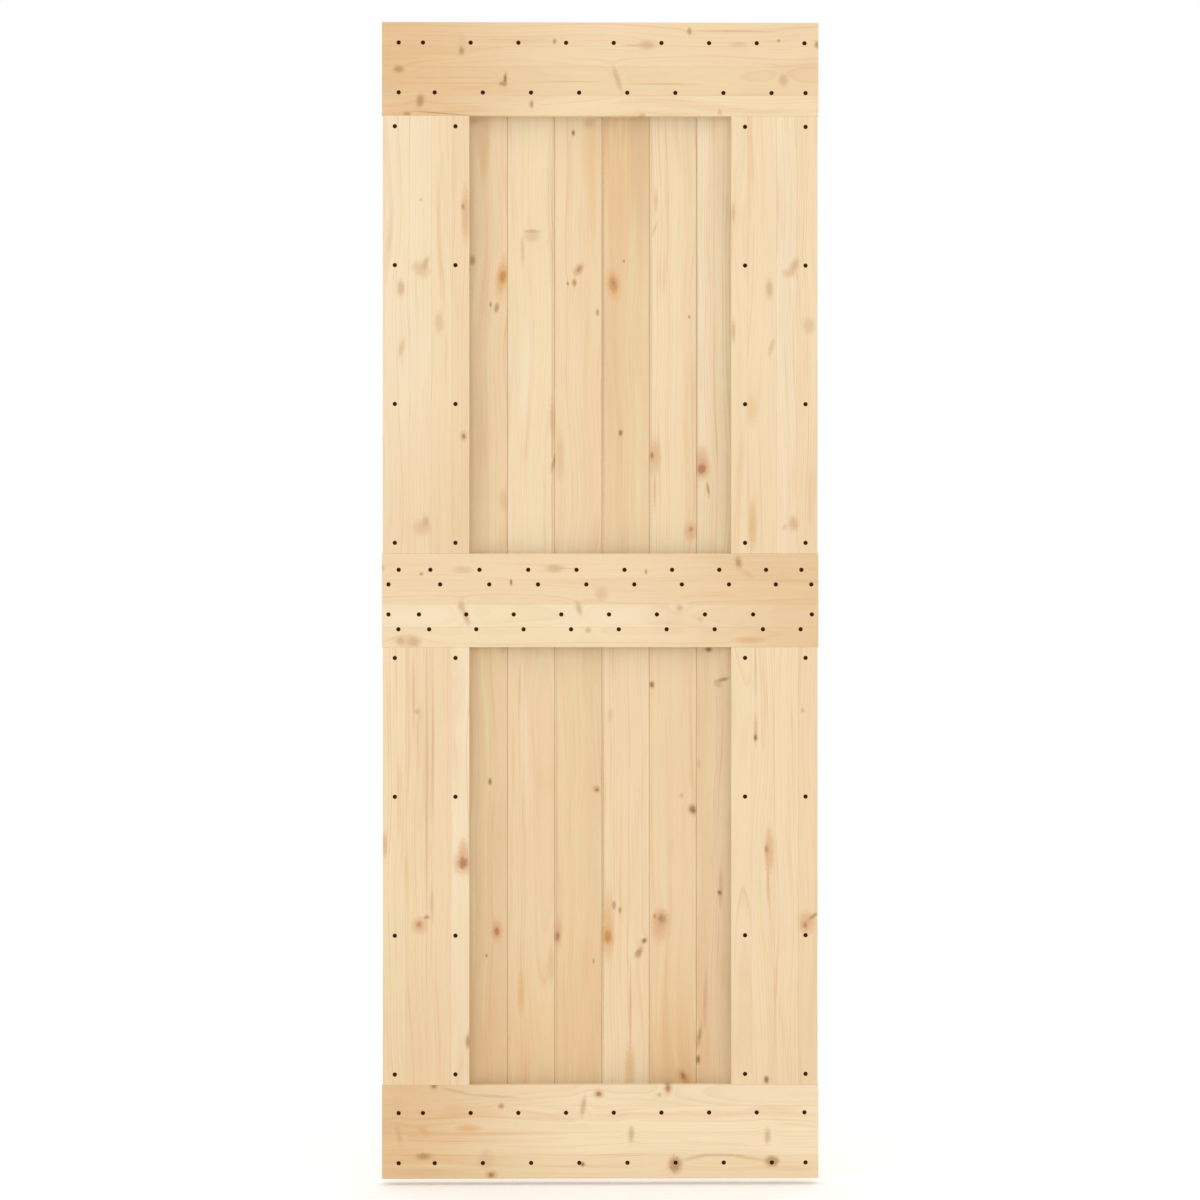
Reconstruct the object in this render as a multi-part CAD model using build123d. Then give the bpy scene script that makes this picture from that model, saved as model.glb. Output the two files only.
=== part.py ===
from build123d import *

import os
from collections import namedtuple
from math import radians, tan

# Leaf of a sliding barn door in solid pine.
#
# Two panels of upright tongue-and-groove boards, one above the other, meet end to end behind the
# middle rail. A face frame holds them together: three rails that run the full width and, between
# them, four stiles. The boards lie behind the frame, so the front shows two sunk fields and the
# back is one boarded face. Every rail is screwed to each board behind it, and every stile is
# screwed down both of its long edges.
#
# X runs across the leaf, to the right as seen from the front. Y runs through it, from front to
# back. Z is up. The origin is the middle of the top edge, where the leaf hangs from its track.
# All sizes are in millimetres.

# Whole leaf
LEAF_HEIGHT = 2100.0
PANEL_WIDTH = 790.0  # across the boards, and across the stiles

# Face frame
FRAME_THICKNESS = 20.0
RAIL_HEIGHT = 170.0
RAIL_OVERHANG = 1.5  # how far the end of a rail stands out past the stiles and boards
STILE_WIDTH = 157.0
ARRIS_RADIUS = 1.0  # eased edges round the front of each rail and stile

# Boards
BOARD_THICKNESS = 16.0
BOARD_COVER = 86.1  # from one joint to the next
FIRST_BOARD_WIDTH = 54.0  # the left edge board is ripped down to this
NARROWEST_EDGE_BOARD = 25.0  # a narrower rest at the right edge stays with the board beside it
BOARD_GAP = 0.4  # between the shoulders of two boards
BOARD_BEVEL = 1.2  # on all long edges, so that each joint shows as a V
PANEL_GAP = 1.0  # between the ends of the upper and lower boards

# Tongue and groove
TONGUE_THICKNESS = 5.0
TONGUE_LENGTH = 6.0
TONGUE_TIP_CHAMFER = 0.8
TONGUE_SIDE_CLEARANCE = 0.15
TONGUE_TIP_CLEARANCE = 0.6

# Countersunk screw holes in the face frame, measured across their flats
SCREW_HOLE_DIAMETER = 4.5
SINK_DIAMETER = 8.4
SINK_ANGLE = 90.0
HOLE_FLAT_COUNT = 12  # few, because the frame has over a hundred holes

# Screws in the stiles: two columns of evenly spaced screws
STILE_OUTER_INSET = 22.0  # from the stile's outer edge to the first column
STILE_COLUMN_SPACING = 110.0
STILE_END_INSET = 19.5
STILE_SCREWS_PER_COLUMN = 4

# Screws in the rails. A row's height is measured from the named long edge of the rail. Its first
# and last screws are set in from the ends of the rail, for the narrow boards at the edges. Each
# board between them gets one screw, set off from the joint at its left side. The rows were marked
# out by hand, so the offset grows by the drift from one board to the next, and in the middle rail
# it bows out between the ends of the row.
ScrewRow = namedtuple(
    "ScrewRow", "edge height first_inset joint_offset drift last_inset bow", defaults=(0.0,)
)
TOP_RAIL_ROWS = (
    ScrewRow("top", height=37.5, first_inset=30.5, joint_offset=19.0, drift=0.5, last_inset=25.5),
    ScrewRow("bottom", height=42.0, first_inset=30.5, joint_offset=40.3, drift=1.3, last_inset=23.5),
)
MIDDLE_RAIL_ROWS = (
    ScrewRow("top", height=29.5, first_inset=30.5, joint_offset=32.5, drift=1.0, last_inset=31.0, bow=4.1),
    ScrewRow("top", height=56.0, first_inset=12.0, joint_offset=50.2, drift=1.0, last_inset=13.0, bow=4.2),
    ScrewRow(
        "bottom", height=59.5, first_inset=12.0, joint_offset=11.8, drift=0.6, last_inset=12.0, bow=-1.8
    ),
    ScrewRow(
        "bottom", height=32.5, first_inset=30.0, joint_offset=30.3, drift=0.5, last_inset=32.5, bow=-2.3
    ),
)
BOTTOM_RAIL_ROWS = (
    ScrewRow("top", height=50.5, first_inset=30.5, joint_offset=19.0, drift=0.5, last_inset=25.5),
    ScrewRow("bottom", height=28.5, first_inset=30.5, joint_offset=40.3, drift=1.4, last_inset=23.5),
)

# Planes and lengths that several pieces share
LEAF_THICKNESS = FRAME_THICKNESS + BOARD_THICKNESS
FRONT_Y = -LEAF_THICKNESS / 2
SEAT_Y = FRONT_Y + FRAME_THICKNESS  # where the frame bears on the boards
RAIL_LENGTH = PANEL_WIDTH + 2 * RAIL_OVERHANG
STILE_LENGTH = (LEAF_HEIGHT - 3 * RAIL_HEIGHT) / 2
BOARD_LENGTH = (LEAF_HEIGHT - PANEL_GAP) / 2

# The lower edge of each level of the frame
TOP_RAIL_Z = -RAIL_HEIGHT
UPPER_STILE_Z = TOP_RAIL_Z - STILE_LENGTH
MIDDLE_RAIL_Z = UPPER_STILE_Z - RAIL_HEIGHT
LOWER_STILE_Z = MIDDLE_RAIL_Z - STILE_LENGTH
BOTTOM_RAIL_Z = LOWER_STILE_Z - RAIL_HEIGHT


def board_joints():
    """The X of each joint between two boards, from left to right."""
    joints = []
    x = FIRST_BOARD_WIDTH - PANEL_WIDTH / 2
    while x <= PANEL_WIDTH / 2 - NARROWEST_EDGE_BOARD:
        joints.append(x)
        x += BOARD_COVER
    return joints


def board(width, grooved, tongued):
    """An upright board from X 0 to its width and from Y 0 backwards, with its foot at Z 0."""
    section = Rectangle(width, BOARD_THICKNESS, align=Align.MIN)
    section = chamfer(section.vertices(), BOARD_BEVEL)
    if tongued:
        tongue = Rectangle(TONGUE_LENGTH, TONGUE_THICKNESS, align=(Align.MIN, Align.CENTER))
        tongue = chamfer(tongue.vertices().group_by(Axis.X)[-1], TONGUE_TIP_CHAMFER)
        section += Pos(width, BOARD_THICKNESS / 2) * tongue
    if grooved:
        depth = TONGUE_LENGTH + TONGUE_TIP_CLEARANCE - BOARD_GAP
        opening = TONGUE_THICKNESS + 2 * TONGUE_SIDE_CLEARANCE
        groove = Rectangle(depth, opening, align=(Align.MIN, Align.CENTER))
        section -= Pos(0, BOARD_THICKNESS / 2) * groove
    return extrude(section, BOARD_LENGTH)


def panel(foot_z):
    """The boards of one panel, from left to right, each tongue in the groove of the next board."""
    joints = board_joints()
    lefts = [-PANEL_WIDTH / 2] + [x + BOARD_GAP / 2 for x in joints]
    rights = [x - BOARD_GAP / 2 for x in joints] + [PANEL_WIDTH / 2]
    boards = []
    for number, (left, right) in enumerate(zip(lefts, rights)):
        piece = board(right - left, grooved=number > 0, tongued=number < len(joints))
        boards.append(Pos(left, SEAT_Y, foot_z) * piece)
    return boards


def frame_member(length, height):
    """A rail or stile with its left end at the middle of X, its front at Y 0 and its foot at Z 0."""
    blank = Box(length, FRAME_THICKNESS, height, align=(Align.CENTER, Align.MIN, Align.MIN))
    return fillet(blank.faces().sort_by(Axis.Y)[0].edges(), ARRIS_RADIUS)


def screw_hole():
    """What a countersunk hole removes, with its mouth at Y 0 and its bore running backwards."""
    sink_depth = (SINK_DIAMETER - SCREW_HOLE_DIAMETER) / 2 / tan(radians(SINK_ANGLE / 2))
    mouth = RegularPolygon(SINK_DIAMETER / 2, HOLE_FLAT_COUNT, major_radius=False)
    bore = RegularPolygon(SCREW_HOLE_DIAMETER / 2, HOLE_FLAT_COUNT, major_radius=False)
    sink = loft([mouth.face(), Pos(0, 0, sink_depth) * bore.face()], ruled=True)
    return Rot(X=-90) * (sink + extrude(bore, FRAME_THICKNESS))


def drilled(member, centres):
    """The frame member with a countersunk hole at each (X, Z) centre on its front."""
    hole = screw_hole()
    return member - [Pos(x, 0, z) * hole for x, z in centres]


def row_centres(row):
    """The (X, Z) centres of one row of screws in a rail whose foot is at Z 0."""
    z = RAIL_HEIGHT - row.height if row.edge == "top" else row.height
    xs = [row.first_inset - RAIL_LENGTH / 2]
    joints = board_joints()[:-1]
    for number, joint in enumerate(joints):
        along = number / (len(joints) - 1)
        bowed = row.bow * 4 * along * (1 - along)
        xs.append(joint + row.joint_offset + number * row.drift + bowed)
    xs.append(RAIL_LENGTH / 2 - row.last_inset)
    return [(x, z) for x in xs]


def rail(rows, foot_z):
    """A rail across the full width, screwed through each row."""
    centres = [centre for row in rows for centre in row_centres(row)]
    return Pos(0, FRONT_Y, foot_z) * drilled(frame_member(RAIL_LENGTH, RAIL_HEIGHT), centres)


def stile(side, foot_z):
    """A stile between two rails. Side is -1 for the left stile and 1 for the right one."""
    outer_x = side * (STILE_WIDTH / 2 - STILE_OUTER_INSET)
    inner_x = outer_x - side * STILE_COLUMN_SPACING
    spacing = (STILE_LENGTH - 2 * STILE_END_INSET) / (STILE_SCREWS_PER_COLUMN - 1)
    zs = [STILE_END_INSET + i * spacing for i in range(STILE_SCREWS_PER_COLUMN)]
    centres = [(x, z) for x in (outer_x, inner_x) for z in zs]
    middle_x = side * (PANEL_WIDTH - STILE_WIDTH) / 2
    return Pos(middle_x, FRONT_Y, foot_z) * drilled(frame_member(STILE_WIDTH, STILE_LENGTH), centres)


def leaf():
    """Every piece of the leaf by name, in place."""
    pieces = {
        "top_rail": rail(TOP_RAIL_ROWS, TOP_RAIL_Z),
        "middle_rail": rail(MIDDLE_RAIL_ROWS, MIDDLE_RAIL_Z),
        "bottom_rail": rail(BOTTOM_RAIL_ROWS, BOTTOM_RAIL_Z),
        "upper_left_stile": stile(-1, UPPER_STILE_Z),
        "upper_right_stile": stile(1, UPPER_STILE_Z),
        "lower_left_stile": stile(-1, LOWER_STILE_Z),
        "lower_right_stile": stile(1, LOWER_STILE_Z),
    }
    for level, foot_z in (("upper", -BOARD_LENGTH), ("lower", -LEAF_HEIGHT)):
        for number, piece in enumerate(panel(foot_z), start=1):
            pieces[f"{level}_board_{number:02d}"] = piece
    return pieces


os.makedirs("parts", exist_ok=True)
for name, piece in leaf().items():
    export_step(piece, f"parts/{name}.step")
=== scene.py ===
import math
from collections import namedtuple
from functools import partialmethod

import bpy
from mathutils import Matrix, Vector


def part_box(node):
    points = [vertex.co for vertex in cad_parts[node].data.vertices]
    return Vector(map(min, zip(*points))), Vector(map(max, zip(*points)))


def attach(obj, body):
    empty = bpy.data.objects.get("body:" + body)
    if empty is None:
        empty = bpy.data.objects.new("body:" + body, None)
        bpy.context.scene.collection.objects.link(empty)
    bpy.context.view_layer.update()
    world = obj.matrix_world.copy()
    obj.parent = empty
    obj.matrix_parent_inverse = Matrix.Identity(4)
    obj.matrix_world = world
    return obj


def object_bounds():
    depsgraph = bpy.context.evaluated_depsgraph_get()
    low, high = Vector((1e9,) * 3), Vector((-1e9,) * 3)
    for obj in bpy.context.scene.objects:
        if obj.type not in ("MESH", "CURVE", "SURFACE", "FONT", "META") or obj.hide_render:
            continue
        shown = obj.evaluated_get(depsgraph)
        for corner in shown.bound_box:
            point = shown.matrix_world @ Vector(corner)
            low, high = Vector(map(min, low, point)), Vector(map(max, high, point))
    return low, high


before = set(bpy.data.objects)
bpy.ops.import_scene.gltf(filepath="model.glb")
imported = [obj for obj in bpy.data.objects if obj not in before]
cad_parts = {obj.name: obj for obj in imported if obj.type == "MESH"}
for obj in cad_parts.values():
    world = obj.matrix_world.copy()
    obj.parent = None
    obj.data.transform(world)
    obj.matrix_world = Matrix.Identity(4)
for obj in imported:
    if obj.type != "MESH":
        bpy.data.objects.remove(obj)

bl_info = {
    "name": "Sliding door leaf",
    "version": (1, 0, 0),
    "blender": (4, 5, 0),
    "location": "View3D > Sidebar > Door leaf",
    "description": "Finishes a solid pine sliding door leaf and sets a studio round it",
    "category": "Object",
}

CAD_BOX = [list(corner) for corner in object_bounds()]
LEAF_LOW, LEAF_HIGH = (Vector(corner) for corner in CAD_BOX)
MM = 0.001  # one millimetre in Blender's metres
FAR_AWAY = 1.0e6  # a glue line that a piece hasn't got, in millimetres

RAILS = ("top_rail", "middle_rail", "bottom_rail")
STILES = ("upper_left_stile", "upper_right_stile", "lower_left_stile", "lower_right_stile")
BOARDS_PER_PANEL = sum(name.startswith("upper_board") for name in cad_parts)


def tint(code):
    """A colour written as six hex digits, in the linear values that shaders use."""
    parts = [int(code[i:i + 2], 16) / 255 for i in (0, 2, 4)]
    return tuple(p / 12.92 if p <= 0.04045 else ((p + 0.055) / 1.055) ** 2.4 for p in parts)


# Tones of the planed wood, before grain and knots
MILK = "FBE6C2"
CREAM = "F8E2BF"
PALE = "F6DDB6"
STRAW = "F4D8B0"
ROSY = "F2D3AA"
BUFF = "EFD0A4"
HONEY = "EDCCA1"
AMBER = "ECC99C"

# How each knot or streak is coloured: its core and the stain round it, how many times as far as the
# core the stain runs, how strong both are, how soft the core's outline is, and whether the growth
# rings bend round it
KnotKind = namedtuple("KnotKind", "core stain reach core_strength stain_strength softness bends")
KNOT_KINDS = {
    "red": ("9F6434", "D2A474", 2.8, 0.80, 0.65, 0.45, True),
    "rust": ("A86236", "DAA679", 2.8, 0.82, 0.68, 0.45, True),
    "rose": ("B38153", "D6A87C", 2.5, 0.72, 0.60, 0.45, True),
    "brown": ("8A6020", "BA9062", 2.2, 0.83, 0.58, 0.45, True),
    "orange": ("B97430", "E4AA6A", 2.6, 0.72, 0.65, 0.50, True),
    "tan": ("B18656", "CAA272", 2.0, 0.68, 0.58, 0.45, True),
    "pale": ("D1AC80", "DAB488", 2.0, 0.56, 0.50, 0.55, True),
    "blush": ("DFBA8E", "E4C298", 1.7, 0.58, 0.45, 0.70, False),
    "pin": ("A47C42", "C09862", 2.0, 0.72, 0.44, 0.45, True),
    "ring": ("AE8048", "CCA070", 1.7, 0.64, 0.68, 0.45, True),
    "pocket": ("DEA866", "E8BE8A", 1.6, 0.55, 0.40, 0.75, False),
    "gold": ("E9C084", "ECCA96", 1.6, 0.50, 0.35, 0.80, False),
    "flush": ("DBA478", "E2B488", 1.7, 0.56, 0.42, 0.75, False),
    "line": ("BE986A", "D4AE82", 1.8, 0.29, 0.20, 0.65, False),
    # Painted shade: a dark strip along a board joint, which widens the joint's dark line
    "seam": ("BE986A", "D4AE82", 1.5, 0.52, 0.20, 0.50, False),
    "light": ("FFF2D8", "FBEACC", 1.5, 0.26, 0.12, 0.80, False),
}

# A knot or stain on the front, or a strip of painted shade along a board joint: x from the middle of the
# leaf, depth below its top edge, width across the leaf and height up it, in millimetres, and its turn in
# degrees, clockwise as seen from the front
Knot = namedtuple("Knot", "kind x depth width height turn", defaults=(0,))

# A piece of timber. It is glued up from strips side by side, listed by tone and by the lines between
# them, in millimetres from the piece's left or top edge. The heart is the middle of the growth rings,
# in millimetres across the piece and behind its front. The warm end is how much rosier the piece gets
# towards its right or lower end, or with a minus towards its left or upper end; on most lower boards it
# runs to the bottom and is partly painted shade there. The knots are rows of what a Knot holds. The
# blend is how wide the change of tone is at a line, in millimetres.
GLUED_BLEND, BOARD_BLEND = 0.6, 14
Timber = namedtuple(
    "Timber", "tones lines heart_across heart_behind ring_width seed warm_end knots blend",
    defaults=(GLUED_BLEND,))

FRAME_TIMBER = {
    "top_rail": Timber((STRAW, STRAW, ROSY, PALE), (44, 81, 133), 20, 60, 3.4, 11.0, -0.85, (
        ("blush", -252, 42, 16, 36), ("tan", -252, 52, 8, 12), ("tan", -366, 86, 17, 12),
        ("line", -264, 101, 150, 2), ("line", -262, 111, 170, 2), ("tan", -286, 166, 92, 2, 4),
        ("brown", -173, 104, 5, 17, 4), ("tan", -177, 112, 13, 7), ("tan", -327, 143, 12, 20, 8),
        ("tan", -125, 149, 6, 12), ("tan", -83, 35, 6, 8), ("tan", -351, 167, 12, 6),
        ("pale", 86, 41, 24, 13), ("line", 62, 42, 36, 3), ("tan", 162, 16, 7, 11),
        ("flush", 245, 16, 130, 3), ("blush", 251, 40, 28, 10), ("tan", 324, 33, 6, 4),
        ("tan", 394, 40, 8, 11), ("pale", 31, 103, 8, 36, -18), ("line", 113, 112, 120, 3),
        ("pale", 333, 104, 14, 19), ("pale", 217, 163, 7, 8), ("pale", 76, 169, 9, 7),
        ("blush", -384, 118, 28, 26), ("line", -58, 108, 94, 2))),
    "middle_rail": Timber((STRAW, STRAW, CREAM, PALE), (48, 92, 134), -30, 70, 3.1, 23.0, 0.65, (
        ("pale", -83, 992, 26, 12), ("line", -60, 992, 44, 2), ("pin", 83, 998, 4, 8),
        ("brown", -162, 1017, 4, 9), ("blush", -250, 995, 32, 12), ("rose", 251, 981, 9, 17, -10),
        ("blush", 268, 1002, 24, 9, 30), ("tan", -325, 1002, 6, 5), ("pale", -396, 991, 7, 10),
        ("pale", -252, 1060, 10, 15), ("pale", -244, 1080, 8, 26, -20), ("blush", 2, 1038, 20, 22),
        ("pale", -39, 1064, 8, 21, -15), ("pale", 144, 1064, 10, 10), ("pale", -22, 1104, 9, 9),
        ("blush", -350, 1123, 44, 20), ("pale", -338, 1126, 17, 14), ("pale", -362, 1124, 11, 12),
        ("pocket", 272, 1122, 50, 11), ("blush", 181, 1085, 9, 9))),
    "bottom_rail": Timber((CREAM, MILK, MILK, PALE), (38, 86, 128), 50, 55, 3.6, 37.0, -0.85, (
        ("red", -302, 1932, 9, 8), ("line", -262, 1941, 50, 6, 12), ("red", -3, 1946, 10, 9),
        ("red", 123, 1936, 9, 13), ("pale", 107, 1948, 6, 6), ("tan", -180, 1968, 9, 8),
        ("pale", -31, 1969, 8, 30, 8), ("blush", -378, 2008, 36, 18), ("blush", -368, 1965, 18, 24),
        ("pale", -366, 2019, 9, 28, -12), ("pocket", -322, 2012, 26, 13, 30),
        ("pocket", -240, 2008, 40, 12), ("pale", 56, 2020, 9, 24), ("line", -196, 1950, 84, 5, 4),
        ("pale", 304, 2023, 9, 22), ("tan", -321, 2059, 24, 10), ("blush", -208, 2066, 26, 32),
        ("red", -198, 2093, 12, 9), ("brown", -32, 2074, 6, 7), ("blush", -330, 2088, 110, 12),
        ("line", 172, 2062, 56, 6, -12), ("line", 214, 2058, 70, 5), ("line", 264, 2062, 72, 6, 8),
        ("ring", 136, 2075, 21, 27), ("ring", 312, 2069, 23, 17))),
    "upper_left_stile": Timber((CREAM, CREAM, PALE, STRAW), (48, 88, 126), -70, 45, 3.8, 41.0, 0.32, (
        ("flush", -245, 350, 12, 84), ("rose", -249, 335, 5, 10), ("blush", -325, 449, 30, 22, 35),
        ("pale", -317, 438, 9, 20, 20), ("pale", -362, 484, 11, 24), ("blush", -326, 323, 6, 6),
        ("blush", -292, 546, 14, 34), ("blush", -361, 592, 9, 28, 15), ("red", -248, 752, 7, 10),
        ("blush", -324, 918, 28, 24), ("pale", -317, 907, 10, 18))),
    "upper_right_stile": Timber((PALE, PALE, CREAM, PALE), (30, 82, 119), -60, 50, 3.6, 43.0, 0.15, (
        ("pale", 242, 346, 5, 27), ("pale", 353, 442, 12, 23, 25), ("blush", 343, 455, 22, 14),
        ("pale", 307, 484, 11, 28), ("blush", 379, 551, 20, 26), ("blush", 311, 590, 8, 28, 15),
        ("pale", 242, 560, 6, 34), ("gold", 275, 702, 20, 48), ("pocket", 277, 914, 14, 76),
        ("pale", 351, 911, 14, 22), ("blush", 335, 917, 7, 10))),
    "lower_left_stile": Timber((PALE, STRAW, STRAW, CREAM), (42, 80, 124), 60, 40, 4.0, 47.0, 0.25, (
        ("flush", -249, 1505, 15, 36), ("rust", -249, 1527, 18, 22), ("flush", -328, 1640, 24, 26),
        ("rose", -329, 1638, 8, 9), ("tan", -315, 1625, 9, 6), ("flush", -391, 1494, 8, 40),
        ("tan", -240, 1851, 8, 20), ("pale", -332, 1252, 9, 8), ("line", -315, 1390, 5, 420),
        ("line", -304, 1330, 5, 240), ("line", -339, 1220, 5, 110), ("line", -306, 1602, 7, 50))),
    "lower_right_stile": Timber((PALE, PALE, PALE, STRAW), (36, 78, 122), -50, 60, 3.7, 53.0, 0.15, (
        ("flush", 282, 1284, 6, 50), ("brown", 282, 1299, 6, 10), ("flush", 307, 1505, 15, 72),
        ("tan", 302, 1502, 6, 14), ("flush", 375, 1636, 26, 34), ("rose", 372, 1640, 9, 10),
        ("tan", 387, 1624, 18, 6, -35), ("pale", 368, 1250, 6, 7), ("brown", 302, 1921, 8, 11),
        ("line", 304, 1565, 4, 60), ("line", 282, 1180, 4, 110))),
}

# Tones of each board's left and right part, panel by panel from left to right, the line where the one
# blends into the other, in millimetres from the board's left edge, and the board's warm end, which in
# the lower panel mostly runs to the bottom and is partly painted shade there
BoardTones = namedtuple("BoardTones", "left right line warm_end")
BOARD_TONES = {
    "upper": (
        (ROSY, STRAW, 30, 0.2), (STRAW, ROSY, 40, 0.0), (HONEY, ROSY, 54, 0.0), (PALE, PALE, 40, 0.0),
        (STRAW, ROSY, 50, 0.1), (HONEY, BUFF, 44, -1.2), (PALE, STRAW, 62, 0.2), (CREAM, PALE, 22, 0.3),
        (ROSY, HONEY, 50, 0.2), (STRAW, STRAW, 30, 0.1)),
    "lower": (
        (STRAW, STRAW, 30, 0.3), (ROSY, HONEY, 40, 0.2), (AMBER, HONEY, 56, 0.8), (ROSY, ROSY, 30, 1.0),
        (BUFF, HONEY, 55, 0.9), (STRAW, STRAW, 50, 0.0), (ROSY, ROSY, 30, 1.45), (HONEY, ROSY, 24, 0.55),
        (HONEY, ROSY, 50, 0.3), (ROSY, STRAW, 30, 0.2)),
}
BOARD_KNOTS = (
    ("pocket", -210, 222, 16, 110), ("blush", -214, 190, 30, 80), ("pale", -228, 180, 17, 9),
    ("pocket", -179, 466, 17, 70, 8), ("orange", -177, 463, 13, 23, 8), ("tan", -232, 433, 9, 15),
    ("tan", -188, 519, 7, 15, 12), ("pin", -199, 513, 4, 9), ("line", -172, 870, 3, 50),
    ("blush", -176, 868, 12, 30), ("blush", -124, 388, 24, 20), ("pale", -124, 380, 22, 5),
    ("blush", -141, 415, 7, 44), ("brown", -49, 201, 5, 8), ("pale", -20, 184, 15, 15),
    ("gold", -18, 236, 28, 110), ("gold", -14, 325, 12, 150), ("flush", -40, 450, 14, 20, 30),
    ("rose", -38, 448, 7, 13, 30), ("tan", -47, 473, 7, 12), ("pin", -59, 475, 4, 6),
    ("tan", -5, 527, 5, 11), ("tan", -84, 800, 6, 26, 15), ("flush", -87, 722, 7, 66),
    ("blush", -73, 790, 13, 74), ("blush", 70, 230, 24, 280), ("orange", 24, 476, 15, 30, -8),
    ("rose", 24, 474, 9, 13, -8), ("pin", 43, 434, 4, 5), ("brown", 37, 746, 6, 9),
    ("flush", 99, 787, 19, 50), ("brown", 94, 787, 5, 10), ("flush", 99, 850, 4, 60),
    ("tan", 162, 535, 4, 6), ("flush", 164, 924, 21, 30), ("rose", 165, 921, 7, 8),
    ("flush", 185, 798, 20, 46), ("rust", 184, 811, 16, 19), ("tan", 196, 848, 4, 21, -8),
    ("blush", 101, 325, 7, 32), ("blush", 99, 376, 5, 24, 20), ("brown", -200, 1379, 5, 10),
    ("flush", -188, 1650, 17, 34), ("rust", -188, 1651, 10, 15), ("pin", -206, 1695, 4, 6),
    ("gold", -158, 1349, 6, 150), ("pocket", -146, 1213, 6, 80), ("pocket", -144, 1764, 12, 72),
    ("blush", -89, 1712, 10, 54), ("flush", -8, 1391, 12, 12), ("red", -6, 1394, 7, 7),
    ("flush", -76, 1652, 13, 46), ("brown", -78, 1660, 7, 15), ("pin", -12, 1705, 3, 8),
    ("pocket", 14, 1640, 19, 110), ("orange", 14, 1661, 14, 24), ("tan", 25, 1603, 6, 13),
    ("tan", 36, 1613, 5, 10), ("brown", 80, 1668, 7, 9, 35), ("tan", 70, 1690, 10, 18, 30),
    ("flush", 55, 1790, 4, 130), ("pocket", 54, 1900, 18, 70), ("blush", 18, 1259, 8, 22),
    ("brown", 94, 1203, 7, 10), ("flush", 108, 1642, 26, 50), ("rose", 112, 1628, 16, 19),
    ("pin", 110, 1628, 5, 7), ("pin", 99, 1624, 4, 8), ("brown", 168, 1430, 11, 15, -20),
    ("pale", 148, 1405, 6, 8), ("orange", 152, 1917, 13, 20, -30), ("red", 151, 1914, 8, 15, -30),
    ("brown", 197, 1139, 11, 8), ("pale", 214, 1202, 14, 10, 40), ("tan", 222, 1194, 20, 6, -12),
    ("pale", 179, 1347, 5, 12), ("flush", 219, 1572, 7, 64), ("brown", 217, 1581, 7, 7),
    ("line", 192, 1750, 5, 60), ("flush", 190, 1786, 6, 70), ("tan", 180, 1842, 6, 32, 10),
    # The strips 800 mm long beside the board joints are painted shade, darkening the boards along the joints
    ("brown", 178, 1884, 6, 13), ("line", -86, 567, 5, 800), ("seam", 6, 567, 4, 800),
    ("line", 92, 567, 5, 800), ("line", 177, 567, 3, 800), ("line", -79, 1532, 4, 800),
    ("seam", 6, 1532, 3, 800), ("light", -134, 640, 24, 170), ("light", -139, 1290, 14, 260, -2),
)

# Screws: the same rows as the countersunk holes, in millimetres. A row's height is measured from the
# named long edge of its rail, and it has a screw near each end and one for each board between.
STILE_OUTER_INSET = 22.0
STILE_COLUMN_SPACING = 110.0
STILE_END_INSET = 19.5
STILE_SCREWS_PER_COLUMN = 4
BOARD_GAP = 0.4
ScrewRow = namedtuple(
    "ScrewRow", "edge height first_inset joint_offset drift last_inset bow", defaults=(0.0,))
SCREW_ROWS = {
    "top_rail": (
        ("top", 37.5, 30.5, 19.0, 0.5, 25.5),
        ("bottom", 42.0, 30.5, 40.3, 1.3, 23.5)),
    "middle_rail": (
        ("top", 29.5, 30.5, 32.5, 1.0, 31.0, 4.1),
        ("top", 56.0, 12.0, 50.2, 1.0, 13.0, 4.2),
        ("bottom", 59.5, 12.0, 11.8, 0.6, 12.0, -1.8),
        ("bottom", 32.5, 30.0, 30.3, 0.5, 32.5, -2.3)),
    "bottom_rail": (
        ("top", 50.5, 30.5, 19.0, 0.5, 25.5),
        ("bottom", 28.5, 30.5, 40.3, 1.4, 23.5)),
}


def colour_setting(name, code, text):
    """A colour, given as six hex digits."""
    return bpy.props.FloatVectorProperty(
        name=name, description=text, subtype="COLOR", default=tint(code), min=0, max=1)


def share_setting(name, value, text):
    """A share from 0 to 1."""
    return bpy.props.FloatProperty(name=name, description=text, subtype="FACTOR", default=value, min=0, max=1)


def length_setting(name, value, low, high, text):
    """A length in metres."""
    return bpy.props.FloatProperty(
        name=name, description=text, unit="LENGTH", subtype="DISTANCE", precision=5,
        default=value, min=low, max=high)


def power_setting(name, value, text):
    """A lamp's power in watts."""
    return bpy.props.FloatProperty(name=name, description=text, unit="POWER", default=value, min=0, max=1000)


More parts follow.
